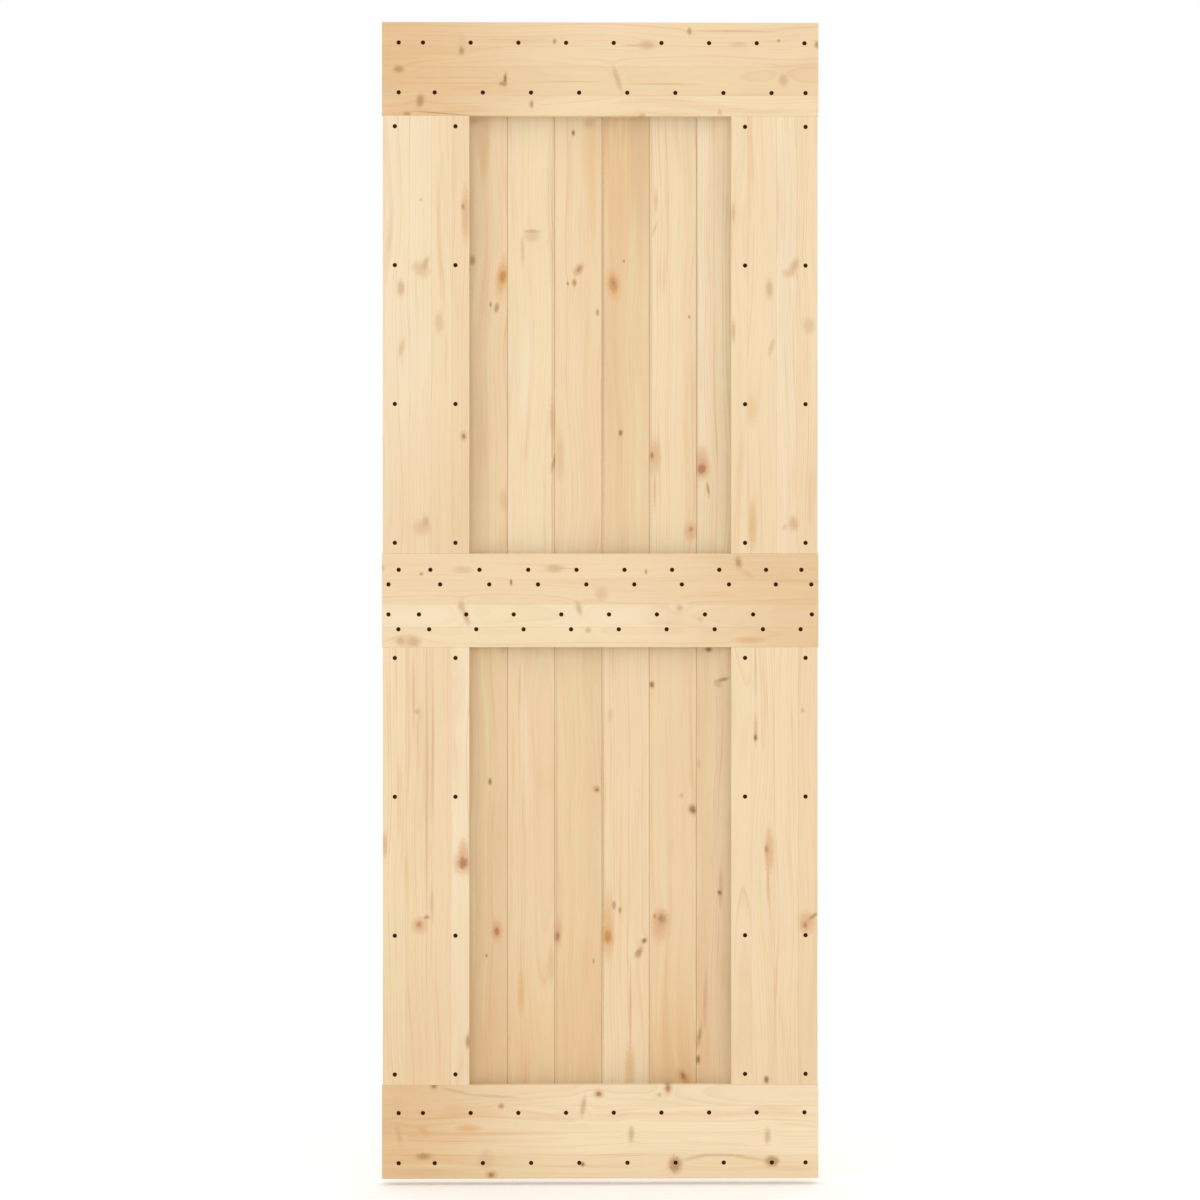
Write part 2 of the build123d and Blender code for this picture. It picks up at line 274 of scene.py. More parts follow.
class PineSettings(bpy.types.PropertyGroup):
    """How the planed pine looks."""

    late_wood: colour_setting("Late wood", "D9A870", "Colour of the dark line that ends each growth ring")
    warm_stripe: colour_setting("Warm stripe", "E6BD8C", "Colour of the broad rosy stripes along the grain")
    cool_stripe: colour_setting("Cool stripe", "EEDDAA", "Colour of the broad yellow stripes along the grain")
    glue_line: colour_setting("Glue line", "C79E6C", "Colour of the thin line between two glued strips")
    # Painted shade: this tint greys and darkens the boards' fronts near the frame round each sunk field
    painted_corner_shade: colour_setting(
        "Painted corner shade", "E6F0F9", "Tint of the painted shade in the corners of the sunk fields")
    # Lighter edges: partly wear, partly painted light on the frame's arrises and on the shaded bevels of the
    # joints
    worn_and_lit_edge: colour_setting("Worn and lit edge", "FCEFCE", "Colour of the edges that handling has rubbed clean")
    frame_wear_and_light: share_setting("Frame wear and light", 0.20, "How strongly the edges of the frame are rubbed")
    board_wear_and_light: share_setting("Board wear and light", 0.80, "How strongly the bevelled edges of the boards are rubbed")
    ring_contrast: share_setting("Ring contrast", 0.36, "How strongly the growth rings show")
    stripe_contrast: share_setting("Stripe contrast", 0.75, "How strongly the broad stripes show")
    roughness: share_setting("Roughness", 0.62, "Roughness of the planed, unoiled face")
    relief: length_setting(
        "Relief", 0.16 * MM, 0, 2 * MM, "Depth of the fibres and rings that can be felt on the face")


class ScrewSettings(bpy.types.PropertyGroup):
    """Sizes and finish of the countersunk wood screws."""

    head_diameter: length_setting("Head diameter", 7.9 * MM, 4 * MM, 12 * MM, "Diameter of the flat head")
    sink: length_setting("Sink", 0.25 * MM, 0, 3 * MM, "How far the head lies below the face of the wood")
    shank_diameter: length_setting(
        "Shank diameter", 3.9 * MM, 2 * MM, 6 * MM, "Diameter of the screw under its head")
    length: length_setting("Length", 32 * MM, 20 * MM, 34 * MM, "Length from the head's face to the tip")
    recess_width: length_setting(
        "Recess width", 4.6 * MM, 1 * MM, 6 * MM, "Width of the cross recess, tip to tip")
    coating: colour_setting("Coating", "401E04", "Colour of the dark phosphate coating")


class StageSettings(bpy.types.PropertyGroup):
    """Camera, lamps and floor."""

    distance: length_setting("Camera distance", 6.0, 2, 20, "From the camera to the front of the leaf")
    view_width: length_setting(
        "View width", 2.1793, 1, 6, "Width of the picture, measured at the front of the leaf")
    yaw: bpy.props.FloatProperty(
        name="Yaw", description="How far the camera stands to the left of the leaf's middle",
        unit="ROTATION", subtype="ANGLE", default=math.radians(0.7), min=-0.5, max=0.5)
    aim_right: length_setting(
        "Aim right", -0.6 * MM, -0.5, 0.5, "How far the picture's middle lies right of the leaf's middle")
    aim_up: length_setting(
        "Aim up", 0.7 * MM, -0.5, 0.5, "How far the picture's middle lies above the leaf's middle")
    dome: bpy.props.FloatProperty(
        name="Dome", description="Strength of the even light from all round", default=0.98, min=0, max=2)
    key: power_setting("Key lamp", 9, "Power of the large soft lamp in front")
    back: power_setting("Back lamp", 9, "Power of the large soft lamp behind")
    floor_gap: length_setting("Floor gap", 0.012, 0.002, 0.1, "From the floor to the leaf's bottom edge")


class Nodes:
    """Adds nodes to a tree and joins them, so that a pattern reads like arithmetic."""

    PER_ROW = 12
    COLUMN_WIDTH = 190
    ROW_HEIGHT = 320

    def __init__(self, tree):
        self.tree = tree
        self.count = 0

    def add(self, kind, inputs=None, **settings):
        """A node with its settings made and its inputs joined or set, by name or by number."""
        node = self.tree.nodes.new(kind)
        row, column = divmod(self.count, self.PER_ROW)
        node.location = (column * self.COLUMN_WIDTH, -row * self.ROW_HEIGHT)
        self.count += 1
        for name, value in settings.items():
            setattr(node, name, value)
        for key, value in (inputs or {}).items():
            self.feed(node.inputs[key], value)
        return node

    def feed(self, socket, value):
        if isinstance(value, bpy.types.NodeSocket):
            self.tree.links.new(value, socket)
        elif socket.type == "RGBA" and len(value) == 3:
            socket.default_value = (*value, 1)
        else:
            socket.default_value = value

    def calc(self, operation, *values, clamp=False):
        node = self.add("ShaderNodeMath", dict(enumerate(values)), operation=operation, use_clamp=clamp)
        return node.outputs[0]

    plus = partialmethod(calc, "ADD")
    minus = partialmethod(calc, "SUBTRACT")
    times = partialmethod(calc, "MULTIPLY")
    times_plus = partialmethod(calc, "MULTIPLY_ADD")
    over = partialmethod(calc, "DIVIDE")
    least = partialmethod(calc, "MINIMUM")
    most = partialmethod(calc, "MAXIMUM")

    def vector(self, operation, *values):
        node = self.add("ShaderNodeVectorMath", dict(enumerate(values)), operation=operation)
        return node.outputs["Value" if operation == "LENGTH" else "Vector"]

    def stretched(self, vector, x, y, z):
        """The vector with each part scaled by itself."""
        return self.vector("MULTIPLY", vector, (x, y, z))

    def joined(self, x, y, z):
        return self.add("ShaderNodeCombineXYZ", {0: x, 1: y, 2: z}).outputs[0]

    def parts(self, vector):
        return self.add("ShaderNodeSeparateXYZ", {0: vector}).outputs

    def span(self, value, low, high, to_low=0.0, to_high=1.0, kind="SMOOTHSTEP"):
        """The value carried from one range to another, and held at that range's ends."""
        sizes = {0: value, 1: low, 2: high, 3: to_low, 4: to_high}
        return self.add("ShaderNodeMapRange", sizes, interpolation_type=kind).outputs[0]

    def mix(self, factor, first, second, blend="MIX"):
        """Two colours mixed."""
        sizes = {0: factor, 6: first, 7: second}
        node = self.add("ShaderNodeMix", sizes, data_type="RGBA", blend_type=blend)
        return node.outputs[2]

    def noise(self, vector, scale=1.0, detail=2.0, roughness=0.5, output="Fac"):
        sizes = {"Vector": vector, "Scale": scale, "Detail": detail, "Roughness": roughness}
        return self.add("ShaderNodeTexNoise", sizes).outputs[output]

    def chance(self, number, output="Value"):
        """A number or colour that is random, but always the same for one number."""
        node = self.add("ShaderNodeTexWhiteNoise", {"W": number}, noise_dimensions="1D")
        return node.outputs[output]

    def ramp(self, factor, *stops):
        """A grey value that follows the given stops of position and value."""
        node = self.add("ShaderNodeValToRGB", {0: factor})
        elements = node.color_ramp.elements
        while len(elements) < len(stops):
            elements.new(0.5)
        for element, (position, value) in zip(elements, stops):
            element.position = position
            element.color = (value, value, value, 1)
        return node.outputs[0]

    def group(self, tree, inputs):
        """The results of a group, by name."""
        return dict(self.add("ShaderNodeGroup", inputs, node_tree=tree).outputs.items())


def new_object(name, data):
    """An object in the scene."""
    thing = bpy.data.objects.new(name, data)
    bpy.context.scene.collection.objects.link(thing)
    return thing


def new_material(name):
    """An empty node material, and what adds nodes to it."""
    material = bpy.data.materials.new(name)
    material.use_nodes = True
    material.node_tree.nodes.clear()
    return material, Nodes(material.node_tree)


SOCKET_KINDS = {float: "Float", int: "Int", tuple: "Color"}  # the kind that each default needs


def sockets(given, *labels):
    """Sockets that share a kind or a default."""
    return dict.fromkeys(labels, given)


def new_tree(name, inputs, outputs, kind="ShaderNodeTree"):
    """A node tree with named sockets. Each input gives its default, or its kind where it has none."""
    tree = bpy.data.node_groups.new(name, kind)
    for label, given in inputs.items():
        socket = given if isinstance(given, str) else SOCKET_KINDS[type(given)]
        item = tree.interface.new_socket(name=label, in_out="INPUT", socket_type=f"NodeSocket{socket}")
        if socket != given:
            item.default_value = given
    for label, socket in outputs.items():
        tree.interface.new_socket(name=label, in_out="OUTPUT", socket_type=f"NodeSocket{socket}")
    n = Nodes(tree)
    return n, n.add("NodeGroupInput").outputs


def finish_tree(n, results):
    """Joins the named results to the tree's outputs, and gives the tree."""
    n.add("NodeGroupOutput", results)
    return n.tree


def glued_strips_group():
    """Which strip of a glued-up piece a point is in, that strip's tone, and the lines between.

    A wide blend is a change of tone within one board. It makes neither a strip nor a glue line.
    """
    widest_glued = 2.0
    n, given = new_tree(
        "Glued strips",
        sockets("Float", "Across", "Blend") | sockets(FAR_AWAY, "Line 1", "Line 2", "Line 3")
        | sockets((*tint(STRAW), 1), "Tone 1", "Tone 2", "Tone 3", "Tone 4"),
        {"Strip": "Float", "Tone": "Color", "Glue line": "Float"})
    strip, tone, nearest = 0.0, given["Tone 1"], FAR_AWAY
    half = n.times(given["Blend"], 0.5)
    glued = n.calc("LESS_THAN", given["Blend"], widest_glued)
    for i in range(1, 4):
        line = given[f"Line {i}"]
        past = n.times(n.calc("GREATER_THAN", given["Across"], line), glued)
        strip = n.plus(strip, past)
        blended = n.span(given["Across"], n.minus(line, half), n.plus(line, half))
        tone = n.mix(blended, tone, given[f"Tone {i + 1}"])
        nearest = n.least(nearest, n.calc("ABSOLUTE", n.minus(given["Across"], line)))
    line = n.times(n.span(nearest, 0.12, 0.45, 1.0, 0.0), glued)
    return finish_tree(n, {"Strip": strip, "Tone": tone, "Glue line": line})


def knot_group():
    """The shape of one knot that runs through the thickness of a piece.

    It works on single numbers, because a shader that holds a vector for every knot grows too big.
    """
    core_edge = 0.85  # as a share of the knot's half size, like every radius here
    raggedness, stain_start, core_rings = 0.9, 0.6, 22.0
    swell_across, swell_along, most_swell = -0.21, -0.08, 3.5
    n, given = new_tree(
        "Knot",
        sockets("Float", "Across", "Behind", "Along", "Centre across", "Centre behind", "Centre along",
                "Half width", "Half length", "Turn", "Lean", "Ragged", "Reach", "Softness"),
        sockets("Float", "Core", "Stain", "Rings", "Swell"))
    behind = n.minus(given["Behind"], given["Centre behind"])
    across = n.minus(given["Across"], given["Centre across"])
    across = n.minus(across, n.times(behind, given["Lean"]))
    along = n.minus(given["Along"], given["Centre along"])
    cosine, sine = n.calc("COSINE", given["Turn"]), n.calc("SINE", given["Turn"])
    turned = n.times_plus(along, sine, n.times(across, cosine))
    along = n.minus(n.times(along, cosine), n.times(across, sine))
    across = n.over(turned, given["Half width"])
    along = n.over(along, given["Half length"])
    across, along = n.times(across, across), n.times(along, along)
    rough = n.times(n.minus(given["Ragged"], 0.5), raggedness)
    radius = n.plus(n.calc("SQRT", n.plus(across, along)), rough)
    outer = n.plus(core_edge, given["Softness"])
    core = n.span(radius, outer, n.minus(core_edge, given["Softness"]))
    stain = n.span(radius, given["Reach"], stain_start)
    rings = n.times(n.calc("SINE", n.times(radius, core_rings)), core)
    fading = n.times_plus(across, swell_across, n.times(along, swell_along))
    swell = n.times(n.calc("EXPONENT", fading), n.least(given["Half width"], most_swell))
    return finish_tree(n, {"Core": core, "Stain": stain, "Rings": rings, "Swell": swell})


def knot_paint_group():
    """Lays one knot's stain and core over the knots before it, and leaves less of the wood clear."""
    ring_depth = 0.16
    n, given = new_tree(
        "Knot paint", sockets("Color", "Paint", "Core colour", "Stain colour")
        | sockets("Float", "Clear", "Core", "Stain", "Rings", "Core strength", "Stain strength"),
        {"Paint": "Color", "Clear": "Float"})
    stained = n.times(given["Stain"], given["Stain strength"])
    ringed = n.plus(n.times(given["Rings"], ring_depth), 1 - ring_depth)
    filled = n.times(n.times(given["Core"], given["Core strength"]), ringed)
    paint = n.mix(stained, given["Paint"], given["Stain colour"])
    clear = n.times(given["Clear"], n.minus(1.0, stained))
    return finish_tree(n, {"Paint": n.mix(filled, paint, given["Core colour"]),
                           "Clear": n.times(clear, n.minus(1.0, filled))})


def growth_group():
    """Growth rings, fibres and stripes of one strip, cut from a log whose heart lies off the piece."""
    strip_step, farthest_along = 7.31, 4000.0
    heart_spread, bend_across, bend_behind, unevenness = 70.0, 46.0, 40.0, 9.0
    n, given = new_tree(
        "Growth", sockets("Vector", "Position")
        | sockets("Float", "Strip", "Seed", "Heart across", "Heart behind", "Ring width", "Swell"),
        sockets("Float", "Late wood", "Stripe", "Fibre", "Fleck", "Shade"))
    random = n.parts(n.chance(n.times_plus(given["Strip"], strip_step, given["Seed"]), "Color"))
    across, behind, along = n.parts(given["Position"])
    along = n.times_plus(random["Z"], farthest_along, along)
    place = n.joined(across, behind, along)
    bend = n.noise(n.stretched(place, 0.003, 0.003, 0.0021), detail=1.0, output="Color")
    bend = n.parts(n.vector("SUBTRACT", bend, (0.5, 0.5, 0.5)))
    heart_across = n.times_plus(n.minus(random["X"], 0.5), heart_spread, given["Heart across"])
    heart_behind = n.times(given["Heart behind"], n.times_plus(random["Y"], 0.8, 0.5))
    out_across = n.times_plus(bend["X"], bend_across, n.minus(across, heart_across))
    out_behind = n.times_plus(bend["Y"], bend_behind, n.minus(behind, heart_behind))
    distance = n.plus(n.vector("LENGTH", n.joined(out_across, out_behind, 0.0)), given["Swell"])
    uneven = n.noise(n.joined(n.times(distance, 0.11), given["Seed"], given["Strip"]), detail=1.0)
    distance = n.times_plus(uneven, unevenness, distance)
    ring = n.over(distance, given["Ring width"])
    number = n.calc("FLOOR", ring)
    profile = n.ramp(n.calc("FRACT", ring), (0.0, 0.0), (0.4, 0.06), (0.78, 0.62), (0.9, 1.0), (1.0, 0.0))
    chance = n.chance(n.plus(number, given["Seed"]))
    strength = n.times_plus(n.calc("POWER", chance, 2.0), 1.0, 0.2)
    slowly = n.times(along, 0.006)
    fading = n.noise(n.joined(n.times(number, 3.7), given["Seed"], slowly))
    strength = n.times(strength, n.span(fading, 0.3, 0.65, 0.35, 1.25))
    late = n.times(profile, strength)
    fibre = n.noise(n.stretched(place, 1.9, 1.9, 0.045), detail=3.0, roughness=0.6)
    slowly = n.times(along, 0.0028)
    stripe_place = n.joined(n.times(distance, 0.085), given["Seed"], slowly)
    stripe = n.noise(stripe_place, detail=3.0, roughness=0.62)
    fleck = n.span(n.noise(n.stretched(place, 1.3, 1.3, 0.10), detail=1.0), 0.71, 0.77)
    shade = n.noise(n.stretched(place, 0.012, 0.012, 0.004), detail=2.0)
    return finish_tree(
        n, {"Late wood": late, "Stripe": stripe, "Fibre": fibre, "Fleck": fleck, "Shade": shade})


def planed_colour_group():
    """The colour of planed pine from its growth, before any knot."""
    fleck_strength, glue_strength, end_grain_dark = 0.28, 0.35, -0.10
    n, given = new_tree(
        "Planed colour",
        sockets("Color", "Tone", "Late colour", "Warm colour", "Cool colour", "Glue colour", "Edge colour")
        | sockets("Float", "Ring contrast", "Stripe contrast", "Late wood", "Stripe", "Fibre", "Fleck",
                  "Shade", "Glue line", "End grain", "Edge", "Warmth and shade"),
        sockets("Color", "Colour"))
    warm = n.times(n.span(given["Stripe"], 0.5, 0.82), given["Stripe contrast"])
    warm = n.plus(warm, given["Warmth and shade"], clamp=True)
    cool = n.times(n.span(given["Stripe"], 0.5, 0.22), given["Stripe contrast"])
    colour = n.mix(warm, given["Tone"], given["Warm colour"])
    colour = n.mix(cool, colour, given["Cool colour"])
    late = n.times(given["Late wood"], given["Ring contrast"])
    colour = n.mix(n.times_plus(given["End grain"], 0.12, late), colour, given["Late colour"])
    colour = n.mix(n.times(given["Fleck"], fleck_strength), colour, given["Late colour"])
    light = n.plus(n.times_plus(given["Fibre"], 0.10, 0.95), n.times_plus(given["Shade"], 0.10, -0.05))
    light = n.times_plus(given["End grain"], end_grain_dark, light)
    colour = n.mix(1.0, colour, n.joined(light, light, light), "MULTIPLY")
    colour = n.mix(n.times(given["Glue line"], glue_strength), colour, given["Glue colour"])
    # Lighter edges: wear, and painted light on the arrises and the shaded joint bevels
    colour = n.mix(given["Edge"], colour, given["Edge colour"])
    return finish_tree(n, {"Colour": colour})


def edge_wear_and_light_group():
    """How near a point is to an edge of a box-shaped piece, broken up as handling wears it; for wear and
    painted light.
    """
    n, given = new_tree(
        "Worn and lit edge", {"Position": "Vector", "Half size": "Vector", "Width": 2.0}, sockets("Float", "Edge"))
    x, y, z = n.parts(n.vector("SUBTRACT", given["Half size"], n.vector("ABSOLUTE", given["Position"])))
    nearer = n.least(x, y)
    farther = n.most(x, y)
    second = n.most(nearer, n.least(farther, z))
    broken = n.noise(given["Position"], scale=0.35, detail=3.0)
    width = n.times(given["Width"], n.plus(broken, 0.4))
    return finish_tree(n, {"Edge": n.span(second, width, 0.0)})


def corner_shade_group():
    """Painted shade that greys and darkens the fronts of the boards near the frame round a sunk field."""
    n, given = new_tree(
        "Painted corner shade", sockets("Vector", "Place", "Normal", "Low", "High") | {"Reach": 24.0},
        sockets("Float", "Painted shade"))
    inside = n.parts(n.vector("SUBTRACT", given["Place"], given["Low"]))
    short = n.parts(n.vector("SUBTRACT", given["High"], given["Place"]))
    nearest = n.least(n.least(inside["X"], short["X"]), n.least(inside["Z"], short["Z"]))
    nearest = n.most(nearest, 0.0)
    faded = n.calc("EXPONENT", n.over(nearest, n.times(given["Reach"], -1.0)))
    front = n.span(n.parts(given["Normal"])["Y"], -0.3, -0.8)
    uneven = n.span(n.noise(given["Place"], scale=0.03), 0.2, 0.8, 0.85, 1.15)
    return finish_tree(n, {"Painted shade": n.times(n.times(faded, front), uneven)})


def shared_groups():
    """The shader groups that the wooden pieces of one operator share."""
    builders = {"strips": glued_strips_group, "knot": knot_group, "knot_paint": knot_paint_group,
                "growth": growth_group, "planed": planed_colour_group, "edge": edge_wear_and_light_group,
                "painted_shade": corner_shade_group}
    return {name: build() for name, build in builders.items()}


def knot_outline(knot, centre, half, lies_flat):
    """The place, size and turn of a knot, measured across, behind and along the grain of its piece."""
    at = Vector((knot.x, -half.y + centre.y, -knot.depth)) - centre
    wide, long = knot.width / 2, knot.height / 2
    if lies_flat:
        at = Vector((at.z, at.y, -at.x))
        wide, long = long, wide
    return {"Centre across": at.x, "Centre behind": at.y, "Centre along": at.z,
            "Half width": wide, "Half length": long, "Turn": -math.radians(knot.turn)}


def grown_knots(n, groups, spot, rows, outline, seed):
    """Every knot of a piece, each painted over those before it.

    Gives the paint, with how much of the wood it leaves clear, how far the rings swell, and the cores.
    """
    steepest_lean = 0.25
    swell, cores = 0.0, 0.0
    paint = {"Paint": (0, 0, 0), "Clear": 1.0}
    for number, knot in enumerate(Knot(*row) for row in rows):
        kind = KnotKind(*KNOT_KINDS[knot.kind])
        shape = n.group(groups["knot"], {
            **spot, **outline(knot), "Lean": steepest_lean * math.sin(number * 2.4 + seed),
            "Reach": kind.reach, "Softness": kind.softness})
        swelling = shape.pop("Swell")
        if kind.bends:
            swell = n.plus(swell, swelling)
        cores = n.most(cores, shape["Core"])
        paint = n.group(groups["knot_paint"], {
            **paint, **shape, "Core colour": tint(kind.core), "Stain colour": tint(kind.stain),
            "Core strength": kind.core_strength, "Stain strength": kind.stain_strength})
    return paint, swell, cores


def pine_material(node, timber, groups, field=None):
    """Planed pine for one CAD node, with its own strips, rings and knots.

    A board also has the low and high corner of the sunk field that it shows in, for its painted corner shade.
    """
    pine = bpy.context.scene.leaf_pine
    low, high = (Vector(corner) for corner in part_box(node))
    centre, half = (low + high) / 2 / MM, (high - low) / 2 / MM
    lies_flat = node in RAILS
    material, n = new_material(f"pine_{node}")

    coordinates = n.add("ShaderNodeTexCoord").outputs
    turn = math.pi / 2 if lies_flat else 0.0
    from_centre = Vector((centre.z, centre.y, -centre.x)) if lies_flat else centre
    half_turned = Vector((half.z, half.y, half.x)) if lies_flat else half
    position = n.add("ShaderNodeMapping", {
        "Vector": coordinates["Object"], "Location": -from_centre,
        "Rotation": (0, turn, 0), "Scale": (1 / MM,) * 3}).outputs[0]
    across, behind, along = n.parts(position)
    from_edge = n.calc("SUBTRACT" if lies_flat else "ADD", half_turned.x, across)
    strips = n.group(groups["strips"], {
        "Across": from_edge, "Blend": timber.blend,
        **{f"Line {i}": float(line) for i, line in enumerate(timber.lines, 1)},
        **{f"Tone {i}": tint(tone) for i, tone in enumerate(timber.tones, 1)}})

    spot = {"Across": across, "Behind": behind, "Along": along,
            "Ragged": n.noise(position, scale=0.22, detail=3.0, roughness=0.6)}
    knots, swell, cores = grown_knots(
        n, groups, spot, timber.knots, lambda knot: knot_outline(knot, centre, half, lies_flat), timber.seed)

    growth = n.group(groups["growth"], {
        "Position": position, "Strip": strips["Strip"], "Seed": timber.seed,
        "Heart across": float(timber.heart_across), "Heart behind": float(timber.heart_behind),
        "Ring width": timber.ring_width, "Swell": swell})
    edge = n.group(groups["edge"], {"Position": position, "Half size": half_turned})["Edge"]
    # How strongly the edges are lightened, for wear and as painted light
    worn_and_lit = n.times(edge, pine.board_wear_and_light if field else pine.frame_wear_and_light)
    facing = n.calc("ABSOLUTE", n.parts(coordinates["Normal"])["X" if lies_flat else "Z"])
    end_grain = n.span(facing, 0.6, 0.9)
    # Rosier towards one end: the wood's tone, and on most lower boards partly painted shade towards the
    # bottom
    towards = -math.copysign(1.0, timber.warm_end) / half_turned.z
    nearer_end = n.span(n.times(along, towards), 0.0, 1.0)
    warmth_and_shade = n.times(nearer_end, abs(timber.warm_end))
    colour = n.group(groups["planed"], {
        "Tone": strips["Tone"], "Late colour": pine.late_wood, "Warm colour": pine.warm_stripe,
        "Cool colour": pine.cool_stripe, "Glue colour": pine.glue_line, "Edge colour": pine.worn_and_lit_edge,
        "Ring contrast": pine.ring_contrast, "Stripe contrast": pine.stripe_contrast, **growth,
        "Glue line": strips["Glue line"], "End grain": end_grain, "Edge": worn_and_lit, "Warmth and shade": warmth_and_shade})["Colour"]
    clear = n.joined(knots["Clear"], knots["Clear"], knots["Clear"])
    colour = n.vector("MULTIPLY_ADD", colour, clear, knots["Paint"])
    if field:
        # Painted shade: towards the frame round the sunk field the board's front is tinted greyer and darker
        place = n.stretched(coordinates["Object"], 1 / MM, 1 / MM, 1 / MM)
        painted_shade = n.group(groups["painted_shade"], {
            "Place": place, "Normal": coordinates["Normal"], "Low": field[0], "High": field[1]})
        colour = n.mix(painted_shade["Painted shade"], colour, pine.painted_corner_shade, "MULTIPLY")

    height = n.times_plus(growth["Fibre"], 0.55, n.times(growth["Late wood"], 0.35))
    height = n.times_plus(strips["Glue line"], -0.5, height)
    height = n.times_plus(cores, 0.25, height)
    bump = n.add("ShaderNodeBump", {"Height": height, "Distance": pine.relief, "Strength": 1.0})
    roughness = n.times_plus(growth["Fibre"], 0.14, pine.roughness - 0.07)
    roughness = n.times_plus(cores, -0.14, roughness)
    roughness = n.times_plus(end_grain, 0.12, roughness, clamp=True)
    surface = n.add("ShaderNodeBsdfPrincipled", {
        "Base Color": colour, "Roughness": roughness, "Normal": bump.outputs[0],
        "Specular IOR Level": 0.35})
    n.add("ShaderNodeOutputMaterial", {"Surface": surface.outputs[0]})
    return material


def dress(node, material):
    """Gives a CAD node its finished material."""
    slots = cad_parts[node].material_slots
    for slot in slots:
        slot.material = material
    if not slots:
        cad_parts[node].data.materials.append(material)


def sunk_field(panel):
    """The low and high corner of a sunk field, in millimetres, from the frame round it."""
    above, below = ("top_rail", "middle_rail") if panel == "upper" else ("middle_rail", "bottom_rail")
    left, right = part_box(f"{panel}_left_stile")[1][0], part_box(f"{panel}_right_stile")[0][0]
    low = Vector((left, LEAF_LOW.y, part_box(below)[1][2])) / MM
    high = Vector((right, LEAF_HIGH.y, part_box(above)[0][2])) / MM
    return low, high


def board_names(panel):
    return [f"{panel}_board_{number:02d}" for number in range(1, BOARDS_PER_PANEL + 1)]


def set_back(row):
    """The knot where a board, which lies behind the front, shows it in line with its listed place."""
    knot = Knot(*row)
    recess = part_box("upper_board_01")[0][1] - LEAF_LOW.y
    spread = 1 + recess / bpy.context.scene.leaf_stage.distance
    middle = -(LEAF_LOW.z + LEAF_HIGH.z) / 2 / MM
    return knot._replace(x=knot.x * spread, depth=middle + (knot.depth - middle) * spread)


def knots_of(node):
    """The listed knots whose centres lie on a board."""
    low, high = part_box(node)
    return tuple(k for k in map(set_back, BOARD_KNOTS)
                 if low[0] <= k.x * MM < high[0] and low[2] <= -k.depth * MM < high[2])


FIRST_SEED, SEED_STEP = {"upper": 60.0, "lower": 101.0}, 3.7


def board_timber(panel, index):
    """The timber of one board. Its heart, rings and seed follow from its place in the row."""
    node = board_names(panel)[index]
    seed = FIRST_SEED[panel] + SEED_STEP * index
    turn = math.sin(seed * 1.7)
    tones = BoardTones(*BOARD_TONES[panel][index])
    return Timber(
        tones=(tones.left, tones.right), lines=(tones.line,), heart_across=55 * turn,
        heart_behind=35 + 25 * math.cos(seed), ring_width=3.3 + 0.7 * turn, seed=seed,
        warm_end=tones.warm_end, knots=knots_of(node), blend=BOARD_BLEND)


class LEAF_OT_finish_frame(bpy.types.Operator):
    """Finish the rails and stiles in planed pine"""

    bl_idname = "leaf.finish_frame"
    bl_label = "Finish the Face Frame"

    def execute(self, context):
        groups = shared_groups()
        for node in RAILS + STILES:
            dress(node, pine_material(node, FRAME_TIMBER[node], groups))
        return {"FINISHED"}


class LEAF_OT_finish_boards(bpy.types.Operator):
    """Finish the tongue-and-groove boards in planed pine"""

    bl_idname = "leaf.finish_boards"
    bl_label = "Finish the Boards"

    def execute(self, context):
        groups = shared_groups()
        for panel in ("upper", "lower"):
            for index, node in enumerate(board_names(panel)):
                dress(node, pine_material(node, board_timber(panel, index), groups, sunk_field(panel)))
        return {"FINISHED"}


def board_joints():
    """The X of each joint between two boards, in millimetres, read from the upper panel."""
    return [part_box(node)[0][0] / MM - BOARD_GAP / 2 for node in board_names("upper")[1:]]


def rail_marks(node, row):
    """The (x, z) of each screw in one row of a rail, in millimetres."""
    row = ScrewRow(*row)
    low, high = (Vector(corner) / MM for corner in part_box(node))
    z = high.z - row.height if row.edge == "top" else low.z + row.height
    xs = [low.x + row.first_inset]
    joints = board_joints()[:-1]
    for number, joint in enumerate(joints):
        along = number / (len(joints) - 1)
        bowed = row.bow * 4 * along * (1 - along)
        xs.append(joint + row.joint_offset + number * row.drift + bowed)
    xs.append(high.x - row.last_inset)
    return [(x, z) for x in xs]


def stile_marks(node):
    """The (x, z) of each screw in a stile, in millimetres."""
    low, high = (Vector(corner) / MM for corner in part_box(node))
    outer, inward = (low.x, 1) if low.x < -high.x else (high.x, -1)
    first = outer + inward * STILE_OUTER_INSET
    spacing = (high.z - low.z - 2 * STILE_END_INSET) / (STILE_SCREWS_PER_COLUMN - 1)
    return [(x, low.z + STILE_END_INSET + i * spacing)
            for x in (first, first + inward * STILE_COLUMN_SPACING)
            for i in range(STILE_SCREWS_PER_COLUMN)]


def screw_marks():
    """Every screw's (x, z), rails first, in millimetres."""
    marks = [mark for node in RAILS for row in SCREW_ROWS[node] for mark in rail_marks(node, row)]
    return marks + [mark for node in STILES for mark in stile_marks(node)]


